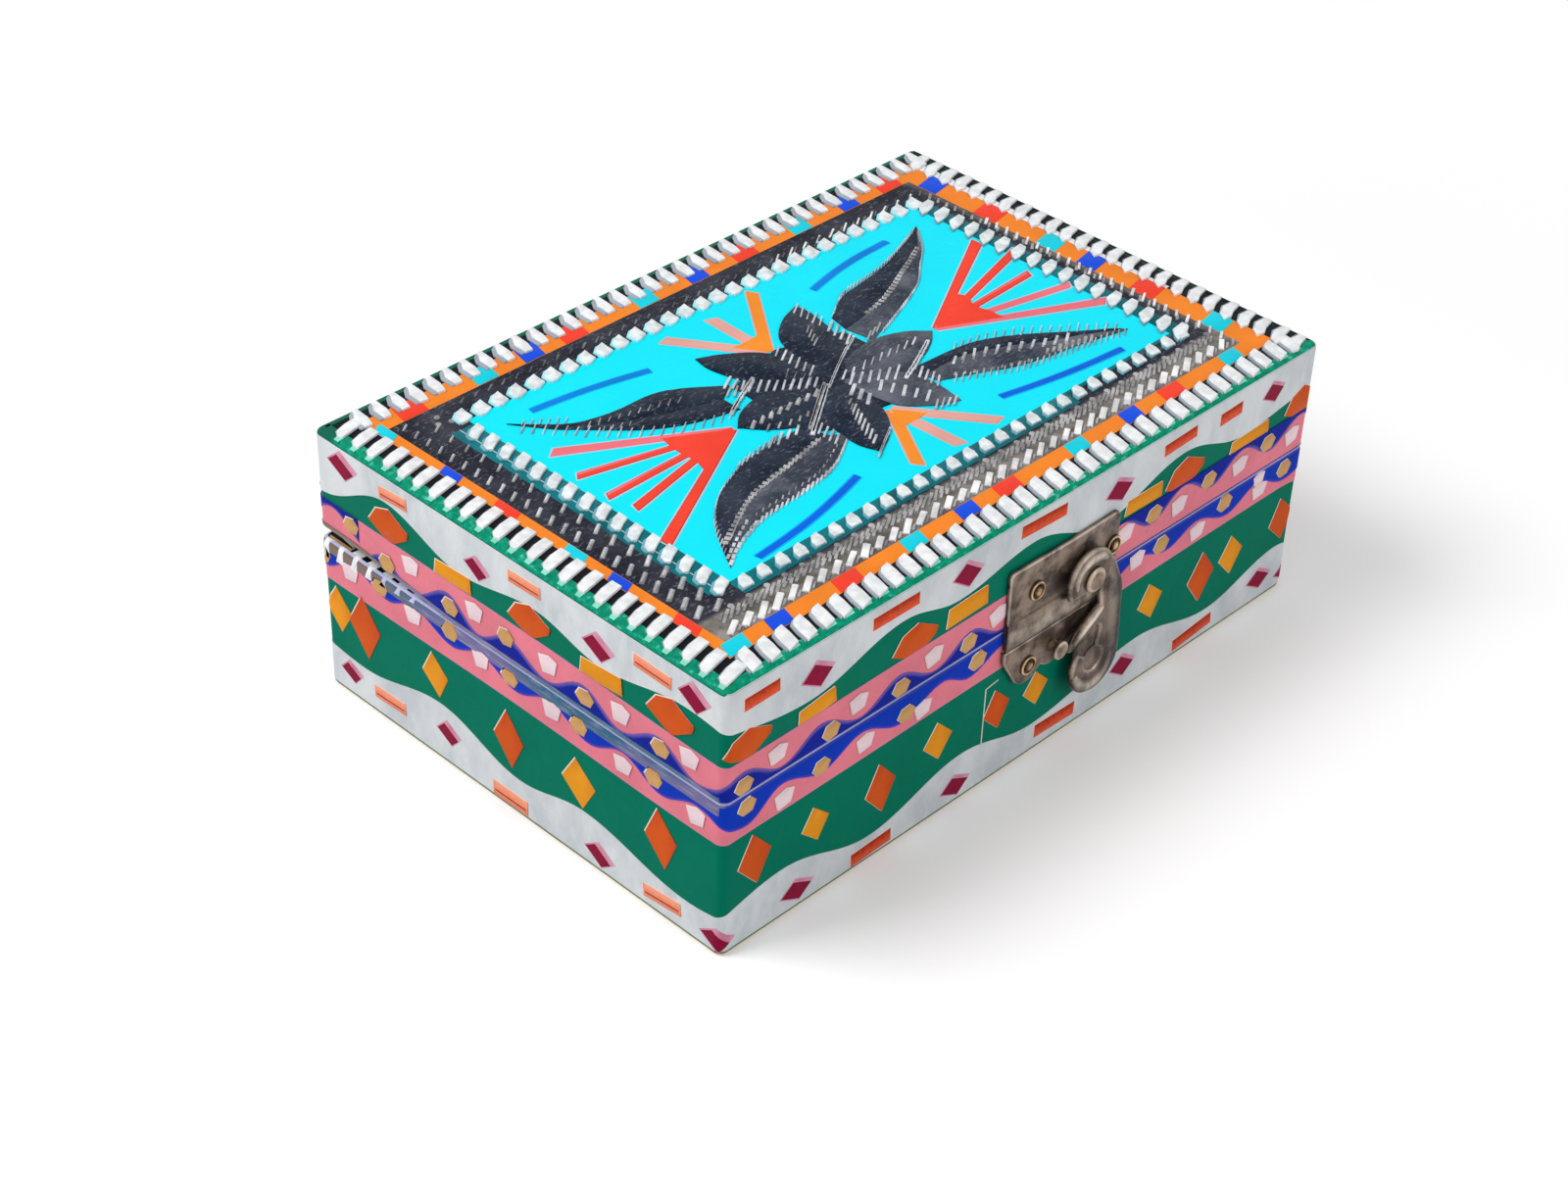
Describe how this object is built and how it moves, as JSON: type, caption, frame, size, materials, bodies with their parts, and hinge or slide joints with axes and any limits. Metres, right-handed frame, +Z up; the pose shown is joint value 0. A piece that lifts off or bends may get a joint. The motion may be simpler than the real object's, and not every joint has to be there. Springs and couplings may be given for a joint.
{
  "type": "hinged storage box",
  "caption": "Small wooden storage box covered in cut tape ornament, with a lid hinged at the back and a bronze swing-hook latch.",
  "frame": {"origin": "centre of the underside of the floor panel, the face the box rests on", "axes": "+X along the front to the right, -Y out of the front with the latch, +Z up"},
  "size_m": [0.1526, 0.1057, 0.0554],
  "materials": {
    "wood": "planed, unfinished",
    "felt": "felt",
    "green_tape": "glossy vinyl",
    "white_tape": "glossy vinyl",
    "pink_tape": "glossy vinyl",
    "blue_tape": "glossy vinyl",
    "orange_tape": "glossy vinyl",
    "yellow_tape": "glossy vinyl",
    "crimson_tape": "glossy vinyl",
    "tan_tape": "glossy vinyl",
    "pale_tape": "glossy vinyl",
    "rim_tape": "embossed foil tape",
    "black_tape": "glossy vinyl",
    "dark_foil": "dark embossed foil",
    "cyan_tape": "glossy vinyl",
    "embossed_white": "embossed reflective tape",
    "border_orange": "glossy vinyl",
    "chip_cyan": "glossy vinyl",
    "chip_blue": "glossy vinyl",
    "red_tape": "glossy vinyl",
    "ray_orange": "glossy vinyl",
    "hinge_brass": "polished",
    "bronze": "antique bronze plate, worn",
    "nail_brass": "antiqued brass"
  },
  "bodies": {
    "base": {"floor_panel": "wood", "base_front_wall": "wood", "base_back_wall": "wood", "base_left_wall": "wood", "base_right_wall": "wood", "floor_felt": "felt", "base_green_tape": "green_tape", "base_white_band": "white_tape", "base_pink_strip": "pink_tape", "base_blue_wave": "blue_tape", "base_orange_cuts": "orange_tape", "base_yellow_cuts": "yellow_tape", "base_crimson_cuts": "crimson_tape", "base_tan_spots": "tan_tape", "base_pale_spots": "pale_tape", "base_rim_tape": "rim_tape", "hinge_lower_leaves": "hinge_brass", "hinge_lower_screws": "hinge_brass", "hinge_pins": "hinge_brass", "catch_plate": "bronze", "catch_post": "nail_brass", "catch_plate_nails": "nail_brass"},
    "lid": {"lid_top_panel": "wood", "lid_front_wall": "wood", "lid_back_wall": "wood", "lid_left_wall": "wood", "lid_right_wall": "wood", "lid_green_tape": "green_tape", "lid_white_band": "white_tape", "lid_pink_strip": "pink_tape", "lid_blue_wave": "blue_tape", "lid_orange_cuts": "orange_tape", "lid_yellow_cuts": "yellow_tape", "lid_crimson_cuts": "crimson_tape", "lid_tan_spots": "tan_tape", "lid_pale_spots": "pale_tape", "lid_rim_tape": "rim_tape", "top_green_sheet": "green_tape", "top_black_border": "black_tape", "top_orange_border": "border_orange", "top_dark_band": "dark_foil", "top_cyan_field": "cyan_tape", "outer_teeth": "embossed_white", "inner_teeth": "embossed_white", "cyan_chips": "chip_cyan", "blue_chips": "chip_blue", "red_chips": "red_tape", "long_petals": "dark_foil", "short_petals": "dark_foil", "red_rays": "red_tape", "orange_rays": "ray_orange", "blue_dashes": "chip_blue", "hinge_upper_leaves": "hinge_brass", "hinge_upper_screws": "hinge_brass", "clasp_plate": "bronze", "clasp_plate_nails": "nail_brass", "clasp_rivet": "nail_brass"},
    "hook": {"clasp_hook": "bronze"}
  },
  "joints": [
    {"name": "lid_hinge", "type": "hinge", "parent": "base", "child": "lid", "pos_m": [0, 0.0496, 0.03347], "axis": [-1, 0, 0], "range_deg": [0, 95]},
    {"name": "hook_swing", "type": "hinge", "parent": "lid", "child": "hook", "pos_m": [0.0103, -0.0534, 0.0356], "axis": [0, -1, 0], "range_deg": [0, 110]}
  ]
}
